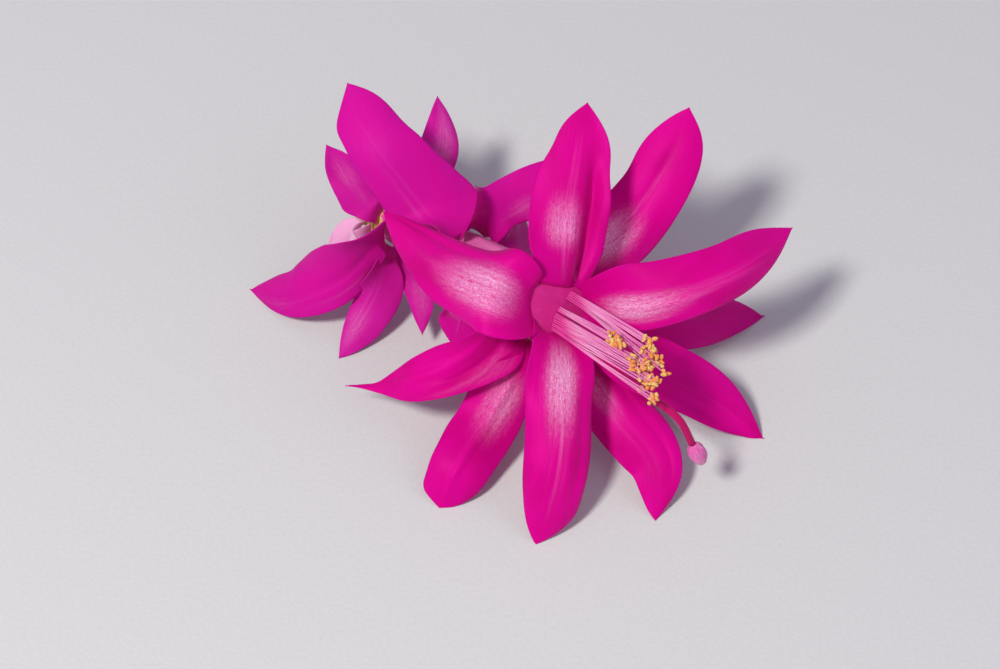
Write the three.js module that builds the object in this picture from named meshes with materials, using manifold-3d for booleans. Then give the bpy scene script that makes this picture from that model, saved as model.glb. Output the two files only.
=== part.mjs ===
// A picked Thanksgiving cactus flower, lying on its side on a flat surface.
// Millimetres, +Z up. The flower rests on the tips of its lower petals. Its tube runs from the
// foot at the back left to the mouth at the front right, where ten long petals turn out. Four
// more stand part of the way along the tube, and six short ones stand round its foot.

import * as THREE from 'three';
import { mergeVertices } from 'three/addons/utils/BufferGeometryUtils.js';
import Module from 'manifold-3d';

const wasm = await Module();
wasm.setup();

const vec = (x, y, z) => new THREE.Vector3(x, y, z);
const along = (point, direction, length) => point.clone().addScaledVector(direction, length);
const mix = (a, b, k) => a + (b - a) * k;
const ease = (x) => THREE.MathUtils.smoothstep(x, 0, 1);
const radians = THREE.MathUtils.degToRad;

// The middle of the box that holds the whole flower, seen from above
const CENTRE = vec(0.28, 0.18, 0);

// The tube: a hollow funnel from the foot to the rim, a little behind the mouth
const FOOT = vec(-21.3, 19.8, 14.5);
const MOUTH = vec(7.5, -6.8, 21);
const FACING = vec(0.5, -0.7, 0.5).normalize();
const RIM_BACK = 2.5;
const TUBE_LEAVE = 12;
const TUBE_ARRIVE = 10;
const TUBE_FOOT_RADIUS = 3.6;
const TUBE_NECK_RADIUS = 5.4;
const TUBE_RIM_RADIUS = 6;
const TUBE_WALL = 0.8;
const TUBE_STATIONS = 12;

// Petals. A tip that rests on the surface is aimed a little below it, and pressed flat.
const BLADE = 0.62;
const SEAT_GAP = 0.35;
const INNER_RING = 4.25;
const OUTER_RING = 6.6;
const CLAW_DEPTH = 5;
const CLAW_REACH = 3;
const OUTER_CLAW_DEPTH = 6;
const TIP_SHARE = 0.06;
const CLAW_SHARE = 0.05;
const UNROLL_SHARE = 0.5;
const TURN_SHARE = 0.6;
const TRIM_SPREAD = 0.14;
const TRIM_END = 0.05;
const LEAST_HALF = 0.3;
const TIP_ROW = 0.985;
const LARGE = { lengths: 12, columns: 6 };
const SMALL = { lengths: 9, columns: 4 };
const TIP_DROP = -0.35;

// The side that a viewer of the whole flower sees, in front and above
const VIEW = vec(0, -0.643, 0.766);

// Stamens: a disc deep in the tube, threads in three flat bands and a short one, and an anther
// on each thread
const DISC_STATION = 0.6;
const DISC_LENGTH = 1.6;
const THREAD_RADIUS = 0.3;
const THREAD_SIDES = 5;
const THREAD_STEPS = 6;
const LAYER = 0.35;
const RAGGED = 1.7;
const ANTHER_SIZE = vec(1.0, 0.75, 0.75);

// Pistil
const STYLE_RADIUS = 0.7;
const STIGMA_LENGTH = 4.5;
const STIGMA_RADIUS = 1.7;

const COLOURS = {
  petal: 0xe0109c,
  basal: 0xc82896,
  pale: 0xe8c8dc,
  tube: 0xe2a0c0,
  ovary: 0xb8a860,
  thread: 0xf0c0dc,
  style: 0xc01060,
  stigma: 0xe070b0,
};

function finish(name) {
  return new THREE.MeshStandardMaterial({ color: COLOURS[name], roughness: 0.55, metalness: 0 });
}

function piece(name, geometry, colour) {
  const mesh = new THREE.Mesh(geometry, finish(colour));
  mesh.name = name;
  return mesh;
}

// A geometry from points and triangles
function solidFrom(points, triangles) {
  const geometry = new THREE.BufferGeometry();
  const flat = points.flatMap((p) => [p.x, p.y, p.z]);
  geometry.setAttribute('position', new THREE.Float32BufferAttribute(flat, 3));
  geometry.setIndex(triangles.flat());
  return geometry;
}

// The directions out from an axis, one for each angle, with angle 0 nearest to +X
function spoke(axis, degrees) {
  const across = vec(1, 0, 0).addScaledVector(axis, -axis.x).normalize();
  const up = axis.clone().cross(across);
  const angle = radians(degrees);
  return across.multiplyScalar(Math.cos(angle)).addScaledVector(up, Math.sin(angle));
}

const tubeWay = MOUTH.clone().sub(FOOT).normalize();
const rim = along(MOUTH, FACING, -RIM_BACK);
const tubeLine = new THREE.CubicBezierCurve3(
  FOOT,
  along(FOOT, tubeWay, TUBE_LEAVE),
  along(rim, FACING, -TUBE_ARRIVE),
  rim,
);

function tubeRadius(station) {
  const neck = mix(TUBE_FOOT_RADIUS, TUBE_NECK_RADIUS, ease(station / 0.8));
  return neck + (TUBE_RIM_RADIUS - TUBE_NECK_RADIUS) * ease((station - 0.75) / 0.25);
}

// A closed body of rings along a curve; each ring is [point, direction, radius], and a ring with
// no radius is a single point
function sweep(rings, sides) {
  const points = [];
  const loops = rings.map(([centre, direction, radius]) => {
    const loop = [];
    for (let i = 0; i < (radius > 0 ? sides : 1); i++) {
      loop.push(points.length);
      points.push(along(centre, spoke(direction, (360 * i) / sides), radius));
    }
    return loop;
  });
  const triangles = [];
  for (let k = 0; k + 1 < loops.length; k++) {
    const [a, b] = [loops[k], loops[k + 1]];
    for (let i = 0; i < sides; i++) {
      const j = (i + 1) % sides;
      if (a.length > 1) triangles.push([a[i], a[j], b[j % b.length]]);
      if (b.length > 1) triangles.push([a[i % a.length], b[j], b[i]]);
    }
  }
  return solidFrom(points, triangles);
}

function tube() {
  const sides = 20;
  const station = (k) => k / TUBE_STATIONS;
  const ring = (t, radius) => [tubeLine.getPoint(t), tubeLine.getTangent(t), radius];
  const rings = [ring(0, 0)];
  for (let k = 0; k <= TUBE_STATIONS; k++) rings.push(ring(station(k), tubeRadius(station(k))));
  for (let k = TUBE_STATIONS; k >= 1; k--) {
    rings.push(ring(station(k), tubeRadius(station(k)) - TUBE_WALL));
  }
  rings.push(ring(station(1), 0));
  return sweep(rings, sides);
}

// Half of a petal's width at a share of its length: a narrow claw, a broad blade and a tip
function halfWidth(petal, share) {
  const rise = ease((share - CLAW_SHARE) / (petal.broad - CLAW_SHARE));
  const past = Math.max(share - petal.broad, 0) / (1 - petal.broad);
  const fall = Math.max(Math.cos((Math.PI / 2) * past ** petal.taper), 0) ** (petal.tail ?? 1);
  return mix(petal.claw, petal.half, rise) * Math.max(fall, TIP_SHARE);
}

// How far the left (-1) or the right (1) margin stands out, looking from the root to the tip: half
// the width, and the stretches where that margin stands further out or in. Each of those is a side,
// a share of the length, a distance and a spread.
function margin(petal, share, side) {
  let half = halfWidth(petal, share);
  for (const [where, at, out, spread = TRIM_SPREAD] of petal.trims ?? []) {
    if (where === side) half += out * Math.exp(-(((share - at) / spread) ** 2)) * ease((1 - share) / TRIM_END);
  }
  return Math.max(half, LEAST_HALF);
}

// A petal follows a curve through its route. Its face starts towards the tube's axis, and turns
// to look the way that is given. Across, it is a channel at the claw and arched at the tip.
function blade(petal, { lengths, columns }) {
  const curve = new THREE.CatmullRomCurve3(petal.route, false, 'centripetal');
  const shares = Array.from({ length: lengths }, (_, i) => i / lengths).concat(TIP_ROW, 1);
  const rows = shares.length - 1;
  const centres = shares.map((share) => curve.getPointAt(share));
  const unroll = petal.unroll ?? UNROLL_SHARE;
  const top = [];
  const bottom = [];
  const middles = [];
  let normal = petal.inward.clone();
  centres.forEach((centre, i) => {
    const share = shares[i];
    const next = centres[Math.min(i + 1, rows)];
    const way = next.clone().sub(centres[Math.max(i - 1, 0)]).normalize();
    normal.addScaledVector(way, -normal.dot(way)).normalize();
    const wish = petal.face.clone().addScaledVector(way, -petal.face.dot(way)).normalize();
    const turn = Math.atan2(normal.clone().cross(wish).dot(way), normal.dot(wish));
    const face = normal.clone().applyAxisAngle(way, turn * ease(share / (petal.turn ?? TURN_SHARE)));
    const side = way.clone().cross(face);
    const bend = mix(1 / petal.ring, radians(petal.arch) / petal.half, ease(share / unroll));
    for (let j = 0; j <= columns; j++) {
      const across = ((2 * j) / columns - 1) * margin(petal, share, 2 * j < columns ? -1 : 1);
      const out = along(centre, side, Math.sin(bend * across) / bend);
      middles.push(out.addScaledVector(face, (1 - Math.cos(bend * across)) / bend));
    }
  });
  const at = (i, j) => middles[i * (columns + 1) + j];
  for (let i = 0; i <= rows; i++) {
    for (let j = 0; j <= columns; j++) {
      const down = at(Math.min(i + 1, rows), j).clone().sub(at(Math.max(i - 1, 0), j));
      const over = at(i, Math.min(j + 1, columns)).clone().sub(at(i, Math.max(j - 1, 0)));
      const out = over.cross(down).normalize();
      const upper = along(at(i, j), out, BLADE / 2);
      const lower = along(at(i, j), out, -BLADE / 2);
      const lift = vec(0, 0, Math.max(0, -Math.min(upper.z, lower.z)));
      top.push(upper.add(lift));
      bottom.push(lower.add(lift));
    }
  }
  return closedSheet(top, bottom, rows, columns);
}

// Two grids of points, the upper and the lower face, joined round their edge
function closedSheet(top, bottom, rows, columns) {
  const count = top.length;
  const id = (i, j) => i * (columns + 1) + j;
  const triangles = [];
  for (let i = 0; i < rows; i++) {
    for (let j = 0; j < columns; j++) {
      const [a, b, c, d] = [id(i, j), id(i, j + 1), id(i + 1, j + 1), id(i + 1, j)];
      triangles.push([a, b, c], [a, c, d]);
      triangles.push([a + count, c + count, b + count], [a + count, d + count, c + count]);
    }
  }
  const edge = [];
  for (let j = 0; j < columns; j++) edge.push(id(0, j));
  for (let i = 0; i < rows; i++) edge.push(id(i, columns));
  for (let j = columns; j > 0; j--) edge.push(id(rows, j));
  for (let i = rows; i > 0; i--) edge.push(id(i, 0));
  edge.forEach((a, k) => {
    const b = edge[(k + 1) % edge.length];
    triangles.push([b, a, a + count], [b, a + count, b + count]);
  });
  return solidFrom([...top, ...bottom], triangles);
}

// Where a petal is rooted: inside the rim, outside the rim, or on the tube's wall
function innerRoot(degrees, ahead, out) {
  const spread = spoke(FACING, degrees);
  const root = along(along(MOUTH, FACING, -CLAW_DEPTH), spread, INNER_RING);
  const rimPoint = along(along(MOUTH, FACING, CLAW_REACH - CLAW_DEPTH), spread, INNER_RING);
  const lip = along(along(MOUTH, FACING, ahead), spread, out);
  return { points: [root, rimPoint, lip], inward: spread.negate(), ring: INNER_RING };
}

function outerRoot(degrees, ahead, out) {
  const spread = spoke(FACING, degrees);
  const root = along(along(MOUTH, FACING, -OUTER_CLAW_DEPTH), spread, OUTER_RING);
  const lip = along(along(MOUTH, FACING, ahead), spread, out);
  return { points: [root, lip], inward: spread.negate(), ring: OUTER_RING };
}

function wallRoot(station, degrees, lean, reach) {
  const way = tubeLine.getTangent(station);
  const spread = spoke(way, degrees);
  const ring = tubeRadius(station) + SEAT_GAP + BLADE / 2;
  const root = along(tubeLine.getPoint(station), spread, ring);
  const [forward, outward] = [Math.cos(radians(lean)), Math.sin(radians(lean))];
  const leave = along(way.clone().multiplyScalar(forward), spread, outward);
  const inward = along(way.clone().multiplyScalar(outward), spread, -forward);
  return { points: [root, along(root, leave, reach)], inward, ring };
}

const toView = (x, y, z) => VIEW.clone().add(vec(x, y, z)).normalize();

// Each petal: where it is rooted, the points that its middle line then passes through, the way
// that its broad face looks, and its half widths, outline and arch. "turn" and "unroll" are the
// shares of its length by which it looks that way and has opened out from round the tube.
const PETALS = [
  {
    name: 'inner_left', root: innerRoot(162, 2.6, 5.5), face: toView(-0.1, 0.1, 0.25),
    through: [vec(-2, -9.9, 29.5), vec(-10.5, -3.1, 27.3), vec(-21, 11.4, 24.1)],
    half: 6.9, claw: 2.3, broad: 0.33, taper: 1.25, arch: -40,
    trims: [[-1, 0.7, -0.7], [-1, 0.15, 0.8]],
  },
  {
    name: 'inner_top', root: innerRoot(87.5, 0.5, 5), face: toView(0.1, -0.1, 0),
    through: [vec(9.3, 3.4, 31.7), vec(12.2, 18.5, 42)],
    half: 6.5, claw: 2.1, broad: 0.36, taper: 2.4, arch: -15,
    trims: [[-1, 0.78, -1, 0.1], [1, 0.7, -0.7, 0.1]],
  },
  {
    name: 'inner_right', root: innerRoot(19, 0.5, 5), face: toView(-0.1, -0.1, 0.2),
    through: [vec(22, -8.8, 26.2), vec(33.5, -5.4, 28.6), vec(45.5, 6, 26)],
    half: 5.4, claw: 2, broad: 0.36, taper: 2, arch: -20, trims: [[-1, 0.65, -0.8]],
  },
  {
    name: 'inner_lower_right', root: innerRoot(-42, 0.5, 5), face: toView(0, 0, 0),
    through: [vec(23, -12.5, 13), vec(33.5, -13.5, 6), vec(41.5, -17, TIP_DROP)],
    half: 5.1, claw: 2.2, broad: 0.38, taper: 1.6, arch: -10, trims: [[1, 0.82, 0.9]],
  },
  {
    name: 'inner_bottom', root: innerRoot(-108, 2, 5.2), face: toView(0.1, 0, 0.1),
    through: [vec(7.8, -22.3, 16.5), vec(7.2, -31.6, 11), vec(3.9, -38, TIP_DROP)],
    half: 5.8, claw: 2.3, broad: 0.35, taper: 3, arch: -35,
    trims: [[-1, 0.87, 0.9, 0.08], [1, 0.85, -0.4, 0.1]],
  },
  {
    name: 'outer_upper_right', root: outerRoot(52, -3.5, 7.6), face: toView(-0.1, 0, 0),
    through: [vec(19.6, 9.6, 24), vec(26.6, 17.6, 32.4), vec(28.9, 21.5, 38)],
    half: 5.8, claw: 2.9, broad: 0.4, taper: 2.7, arch: -25,
    trims: [[1, 0.33, 0.9], [-1, 0.62, -0.4, 0.08]],
  },
  {
    name: 'outer_right', root: outerRoot(-10, -2.5, 7.5), face: toView(0, 0, 0.3),
    through: [vec(24.5, -0.5, 11), vec(43.5, 9.5, TIP_DROP)],
    half: 5.2, claw: 2.6, broad: 0.4, taper: 1.3, arch: -15, trims: [[-1, 0.85, 0.9, 0.1]],
  },
  {
    name: 'outer_lower', root: outerRoot(-65, -2.5, 7.5), face: toView(0, 0, 0),
    through: [vec(17.6, -18.2, 7.2), vec(23.3, -26.7, 5.5), vec(23, -33.5, TIP_DROP)],
    half: 5.6, claw: 2.7, broad: 0.42, taper: 1.6, arch: -25,
    trims: [[1, 0.88, 0.4, 0.12], [1, 0.5, -0.3]],
  },
  {
    name: 'outer_lower_left', root: outerRoot(-118, -3, 7.5), face: toView(0, 0, 0),
    through: [vec(-3.3, -19, 7.5), vec(-8.5, -27.3, 5), vec(-11.5, -31, TIP_DROP)],
    half: 5.1, claw: 2.4, broad: 0.5, taper: 3.4, arch: -25,
    trims: [[1, 0.5, 0.9, 0.12], [1, 0.65, 0.3, 0.1], [1, 0.95, 1.2, 0.06]],
  },
  {
    name: 'outer_left', root: outerRoot(-178, -3, 7.7), face: toView(0, 0, 0.45),
    through: [vec(-7.3, -13.4, 16.25), vec(-15, -14.8, 12.4), vec(-21, -12.8, 8.6), vec(-27, -11.5, 7)],
    half: 4.3, claw: 2.4, broad: 0.48, taper: 0.95, tail: 1.6, arch: 25, unroll: 0.3,
    trims: [[-1, 0.32, 1, 0.1], [1, 0.85, -0.5, 0.06]],
  },
  {
    name: 'middle_large', root: wallRoot(0.43, 106, 75, 1.3), face: toView(-0.1, 0.1, 0.1), turn: 0.3,
    through: [vec(-11.9, 12.5, 22.9), vec(-20.5, 19.5, 31.4), vec(-27, 29.4, 35.8)],
    half: 6.9, claw: 3, broad: 0.26, taper: 2.4, arch: -30, unroll: 0.3,
    trims: [[1, 0.68, -1.7, 0.18], [1, 0.45, -0.6, 0.1], [-1, 0.84, 1, 0.08]],
  },
  {
    name: 'middle_upper', root: wallRoot(0.43, 43, 50, 2), face: toView(0.2, 0, 0.1), size: SMALL,
    through: [vec(0.5, 16, 21.4), vec(14, 21.8, 26)], turn: 0.25, unroll: 0.2,
    half: 4.6, claw: 3.4, broad: 0.22, taper: 1.7, arch: -10,
    trims: [[-1, 0.1, 1.2, 0.09], [1, 0.28, -1.2]],
  },
  {
    name: 'middle_low', root: wallRoot(0.45, 240, 45, 3), face: toView(0, 0, 0), size: SMALL,
    through: [vec(-8.6, 1.5, 7), vec(-9.6, -0.4, 4)],
    half: 3.6, claw: 1.8, broad: 0.5, taper: 1.5, arch: -10,
  },
  {
    name: 'middle_far', root: wallRoot(0.5, -25, 45, 3), face: vec(0.45, -0.6, 0.66), size: SMALL,
    through: [vec(0.6, 14, 11.6), vec(4, 20.5, 6)],
    half: 5, claw: 2, broad: 0.4, taper: 1.5, arch: -10,
  },
  {
    name: 'basal_top', root: wallRoot(0.06, 60, 70, 3), face: toView(0.3, 0, -0.2), size: SMALL,
    through: [vec(-12, 30.5, 20), vec(-12.5, 38.5, 24)], trims: [[1, 0.4, 1]],
    half: 3.9, claw: 1.7, broad: 0.35, taper: 1.4, arch: -10, colour: 'basal',
  },
  {
    name: 'basal_upper_left', root: wallRoot(0.05, 142, 95, 2.2), face: toView(0.3, 0, 0), size: SMALL,
    through: [vec(-26.4, 20.8, 20), vec(-31.2, 28.4, 22.4)],
    half: 3.9, claw: 1.9, broad: 0.32, taper: 1.4, arch: -10, unroll: 0.25, colour: 'basal',
    trims: [[-1, 0.5, -0.6, 0.2]],
  },
  {
    name: 'basal_left', root: wallRoot(0.14, 172, 70, 3), face: toView(-0.1, -0.1, 0.3),
    through: [vec(-27.5, 9, 13), vec(-36.5, 10, 6), vec(-45, 15.5, TIP_DROP)],
    half: 5.4, claw: 2.2, broad: 0.33, taper: 1.5, arch: -20, trims: [[1, 0.16, 0.9], [1, 0.7, -0.6, 0.08]],
  },
  {
    name: 'basal_lower_left', root: wallRoot(0.1, 225, 70, 3), face: toView(0, 0, 0), size: SMALL,
    through: [vec(-22, 8, 7), vec(-29, 0, TIP_DROP)],
    half: 3.9, claw: 1.75, broad: 0.4, taper: 1.3, arch: -15, colour: 'basal',
    trims: [[-1, 0.55, -0.4]],
  },
  {
    name: 'basal_bottom', root: wallRoot(0.08, 272, 70, 3), face: toView(0, 0, 0), size: SMALL,
    through: [vec(-15.2, 8.4, 6.8), vec(-14.8, 1.5, 4.4)],
    half: 2.6, claw: 1.4, broad: 0.4, taper: 1.3, arch: -15, colour: 'basal',
    trims: [[-1, 0.45, 0.8]],
  },
  {
    name: 'basal_pale', root: wallRoot(0.02, 195, 85, 2.5), face: toView(0, 0, 0), size: SMALL,
    through: [vec(-27.4, 18.2, 11.4), vec(-31.4, 18.6, 7.4)],
    half: 2.9, claw: 1.5, broad: 0.4, taper: 1.1, arch: -15, unroll: 0.25, colour: 'pale',
  },
];

function petalPieces() {
  return PETALS.map((entry) => {
    const { points, inward, ring } = entry.root;
    const petal = { ...entry, inward, ring, route: [...points, ...entry.through] };
    return piece(`petal_${entry.name}`, blade(petal, entry.size ?? LARGE), entry.colour ?? 'petal');
  });
}

// The ovary behind the tube's foot, a plain barrel with a rounded end
function ovary() {
  const length = 8;
  const girth = 3.3;
  const steps = 8;
  const start = along(FOOT, tubeWay, -SEAT_GAP);
  const rings = [];
  for (let k = 0; k <= steps; k++) {
    const share = k / steps;
    const radius = share === 1 ? 0 : girth * Math.sqrt(1 - share ** 2.6);
    rings.push([along(start, tubeWay, -length * share), tubeWay.clone().negate(), radius]);
  }
  rings.unshift([start, tubeWay.clone().negate(), 0]);
  return sweep(rings, 14);
}

// A round thread along a smooth route
function thread(route, radius, steps, sides) {
  const curve = new THREE.CatmullRomCurve3(route, false, 'centripetal');
  const rings = [[curve.getPointAt(0), curve.getTangentAt(0), 0]];
  for (let k = 0; k <= steps; k++) {
    rings.push([curve.getPointAt(k / steps), curve.getTangentAt(k / steps), radius]);
  }
  rings.push([curve.getPointAt(1), curve.getTangentAt(1), 0]);
  return sweep(rings, sides);
}

// Threads lie side by side in flat bands. Each band has its count, where its first and last
// thread leave the mouth, in its upper-right way and across it, and where those two end.
const mouthSide = spoke(FACING, 60);
const mouthAcross = FACING.clone().cross(mouthSide);
const BANDS = [
  { count: 6, rise: [2.7, 1.5], off: -1.3, ends: [vec(20.8, -18.9, 27), vec(24, -24.2, 26.5)] },
  { count: 4, rise: [0.6, -0.7], off: 0.4, ends: [vec(18.6, -21.8, 27), vec(19.8, -23.8, 26.6)] },
  { count: 9, rise: [-1.2, -3.3], off: 0.3, ends: [vec(21, -23.2, 27), vec(21.2, -28, 25.3)] },
  { count: 5, rise: [1.4, 0.2], off: 1.3, ends: [vec(14.9, -17.5, 27), vec(17.2, -19.6, 27)] },
];

// The tube's middle at a station, moved by the share of a way out towards the mouth's sides
function insideTube(station, rise, off, share) {
  return along(along(tubeLine.getPoint(station), mouthSide, rise * share), mouthAcross, off * share);
}

function threadRoutes() {
  const routes = [];
  for (const band of BANDS) {
    for (let k = 0; k < band.count; k++) {
      const place = k / (band.count - 1);
      const rise = mix(...band.rise, place);
      const off = band.off + (k % 2 ? LAYER : -LAYER);
      const exit = along(along(MOUTH, mouthSide, rise), mouthAcross, off);
      const ragged = RAGGED * Math.sin(5 * k + band.count);
      const end = band.ends[0].clone().lerp(band.ends[1], place);
      end.addScaledVector(FACING, ragged).addScaledVector(mouthAcross, k % 2 ? LAYER : -LAYER);
      const disc = insideTube(DISC_STATION, rise, off, 0.75);
      const back = along(disc, tubeLine.getTangent(DISC_STATION), -DISC_LENGTH / 2);
      routes.push([back, insideTube(0.8, rise, off, 0.9), exit, end]);
    }
  }
  return routes;
}

function merged(geometry) {
  const bare = geometry.clone();
  bare.deleteAttribute('normal');
  bare.deleteAttribute('uv');
  const welded = mergeVertices(bare, 1e-4);
  return new wasm.Manifold(new wasm.Mesh({
    numProp: 3,
    vertProperties: new Float32Array(welded.attributes.position.array),
    triVerts: new Uint32Array(welded.index.array),
  }));
}

function geometryOf(solid) {
  const mesh = solid.getMesh();
  const geometry = new THREE.BufferGeometry();
  geometry.setAttribute('position', new THREE.Float32BufferAttribute(mesh.vertProperties, 3));
  geometry.setIndex(Array.from(mesh.triVerts));
  return geometry;
}

// The largest of a solid's separate bodies, which leaves out any hollow sealed inside it
function largest(solid) {
  return solid.decompose().sort((a, b) => b.volume() - a.volume())[0];
}

function anther(end, way, turn) {
  const grain = new THREE.IcosahedronGeometry(1, 0);
  grain.scale(ANTHER_SIZE.x, ANTHER_SIZE.y, ANTHER_SIZE.z);
  grain.rotateX(turn);
  grain.rotateZ(turn * 1.7);
  const centre = along(end, way, ANTHER_SIZE.y * 0.4);
  grain.translate(centre.x, centre.y, centre.z);
  return grain;
}

function stamens() {
  const way = tubeLine.getTangent(DISC_STATION);
  const middle = tubeLine.getPoint(DISC_STATION);
  const radius = tubeRadius(DISC_STATION) - TUBE_WALL - SEAT_GAP;
  const back = along(middle, way, -DISC_LENGTH);
  const disc = [[back, way, 0], [back, way, radius], [middle, way, radius], [middle, way, 0]];
  let body = merged(sweep(disc, 16));
  threadRoutes().forEach((route, k) => {
    const end = route[route.length - 1];
    const last = end.clone().sub(route[route.length - 2]).normalize();
    body = body.add(merged(thread(route, THREAD_RADIUS, THREAD_STEPS, THREAD_SIDES)));
    body = body.add(merged(anther(end, last, 1.3 * k)));
  });
  return geometryOf(largest(body));
}

const STYLE_ROUTE = [
  along(insideTube(DISC_STATION, -0.2, -1.7, 1), tubeLine.getTangent(DISC_STATION), SEAT_GAP),
  insideTube(0.82, -1.2, -1.7, 1),
  along(along(MOUTH, mouthSide, -2), mouthAcross, -1.7),
  vec(13.5, -16.5, 20.3),
  vec(20.5, -24.8, 22),
  vec(25.8, -28, 19.4),
  vec(28.2, -29, 14.4),
];

function stigma() {
  const end = STYLE_ROUTE[STYLE_ROUTE.length - 1];
  const way = end.clone().sub(STYLE_ROUTE[STYLE_ROUTE.length - 2]).normalize();
  const steps = 8;
  const rings = [];
  for (let k = 0; k <= steps; k++) {
    const share = k / steps;
    const radius = STIGMA_RADIUS * Math.sqrt(Math.max(0, 1 - (2 * share - 1) ** 2));
    rings.push([along(end, way, SEAT_GAP + STIGMA_LENGTH * share), way, radius < 0.01 ? 0 : radius]);
  }
  return sweep(rings, 10);
}

const flower = new THREE.Group();
flower.add(piece('tube', tube(), 'tube'));
flower.add(piece('ovary', ovary(), 'ovary'));
petalPieces().forEach((petal) => flower.add(petal));
flower.add(piece('stamens', stamens(), 'thread'));
flower.add(piece('style', thread(STYLE_ROUTE, STYLE_RADIUS, 14, 8), 'style'));
flower.add(piece('stigma', stigma(), 'stigma'));
flower.position.copy(CENTRE).negate();

export default flower;
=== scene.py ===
"""A picked Thanksgiving cactus flower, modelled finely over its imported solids.

Shapes are worked out in millimetres, from the values that the solids have, and written in metres.
"""

import logging
import math
import random
from collections.abc import Mapping
from dataclasses import dataclass, field
from enum import Enum

import bpy
import numpy as np
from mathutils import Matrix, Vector


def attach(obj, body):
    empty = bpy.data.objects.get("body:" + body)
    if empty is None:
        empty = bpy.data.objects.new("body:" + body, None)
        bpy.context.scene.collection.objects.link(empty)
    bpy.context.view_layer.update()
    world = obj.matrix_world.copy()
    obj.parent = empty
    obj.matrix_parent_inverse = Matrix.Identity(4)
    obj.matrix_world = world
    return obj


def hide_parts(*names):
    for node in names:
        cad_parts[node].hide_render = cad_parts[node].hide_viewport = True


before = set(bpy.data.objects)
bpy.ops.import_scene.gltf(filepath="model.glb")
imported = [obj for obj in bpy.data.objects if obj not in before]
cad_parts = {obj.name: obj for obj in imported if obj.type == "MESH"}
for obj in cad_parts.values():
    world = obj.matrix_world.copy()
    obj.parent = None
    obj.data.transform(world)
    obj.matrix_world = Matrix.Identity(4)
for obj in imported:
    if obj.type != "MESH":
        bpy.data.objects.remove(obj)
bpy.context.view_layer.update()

LOG = logging.getLogger("flower")
METRE = 0.001
BODY = "root"
# The values of a piece's side mark between which its outer side turns into its hidden one
UNDER_SIDE = (0.4, 0.6)
Triple = tuple[float, float, float]
Colour = Triple


def vec(x: float, y: float, z: float) -> np.ndarray:
    """Return a point or direction in millimetres."""
    return np.array([x, y, z], float)


def unit(v: np.ndarray) -> np.ndarray:
    """Return a vector, or each row of an array of them, at length one."""
    return v / np.linalg.norm(v, axis=-1, keepdims=True)


def ease(x: float | np.ndarray) -> float | np.ndarray:
    """Return a smooth step from 0 to 1 as x goes from 0 to 1."""
    x = np.clip(x, 0.0, 1.0)
    return x * x * (3 - 2 * x)


def mix(a: float | np.ndarray, b: float | np.ndarray, k: float | np.ndarray) -> float | np.ndarray:
    """Return a where k is 0 and b where k is 1."""
    return a + (b - a) * k


def round_angles(sides: int) -> np.ndarray:
    """Return the angles of evenly spaced points round a ring."""
    return np.arange(sides) * 2 * math.pi / sides


def spoke(axis: np.ndarray, degrees: float) -> np.ndarray:
    """Return the direction out from an axis at an angle.

    Args:
        axis: The axis, at length one.
        degrees: The angle, which is 0 nearest to +X.

    Returns:
        A direction at right angles to the axis.
    """
    across = unit(vec(1, 0, 0) - axis * axis[0])
    up = np.cross(axis, across)
    angle = math.radians(degrees)
    return across * math.cos(angle) + up * math.sin(angle)


def show(thing: bpy.types.Object) -> bpy.types.Object:
    """Put an object in the scene, and return it."""
    bpy.context.scene.collection.objects.link(thing)
    return thing


# The middle of the flower's box seen from above, and the places that the solids share
CENTRE = vec(0.28, 0.18, 0)
FOOT = vec(-21.3, 19.8, 14.5)
MOUTH = vec(7.5, -6.8, 21)
FACING = unit(vec(0.5, -0.7, 0.5))
VIEW = vec(0, -0.643, 0.766)
TUBE_WAY = unit(MOUTH - FOOT)
MOUTH_SIDE = spoke(FACING, 60)
MOUTH_ACROSS = np.cross(FACING, MOUTH_SIDE)


def towards_view(x: float, y: float, z: float) -> np.ndarray:
    """Return the direction of a viewer in front and above, leaned by x, y and z."""
    return unit(VIEW + vec(x, y, z))


class Course:
    """A smooth curve through points, addressed by the share of its length."""

    def __init__(self, points: list[np.ndarray], steps: int = 160) -> None:
        """Measure the curve.

        Args:
            points: The points that the curve passes through.
            steps: How many samples each span between two points gets.
        """
        ends = [2 * points[0] - points[1], *points, 2 * points[-1] - points[-2]]
        spans = [self._span(*ends[k:k + 4], steps) for k in range(len(points) - 1)]
        self.samples = np.vstack([*spans, points[-1]])
        strides = np.linalg.norm(np.diff(self.samples, axis=0), axis=1)
        self.marks = np.concatenate([[0.0], np.cumsum(strides)])
        self.length = float(self.marks[-1])

    @staticmethod
    def _span(a: np.ndarray, b: np.ndarray, c: np.ndarray, d: np.ndarray, steps: int) -> np.ndarray:
        """Return samples of the centripetal curve from b to c, with neighbours a and d."""
        before, here, after = (math.sqrt(np.linalg.norm(q - p)) for p, q in ((a, b), (b, c), (c, d)))
        leave = here * ((b - a) / before - (c - a) / (before + here) + (c - b) / here)
        arrive = here * ((c - b) / here - (d - b) / (here + after) + (d - c) / after)
        t = np.arange(steps)[:, None] / steps
        square = 3 * (c - b) - 2 * leave - arrive
        cube = 2 * (b - c) + leave + arrive
        return b + leave * t + square * t ** 2 + cube * t ** 3

    def at(self, shares: np.ndarray) -> np.ndarray:
        """Return the points at shares of the length."""
        where = np.asarray(shares) * self.length
        return np.stack([np.interp(where, self.marks, self.samples[:, k]) for k in range(3)], axis=-1)


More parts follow.
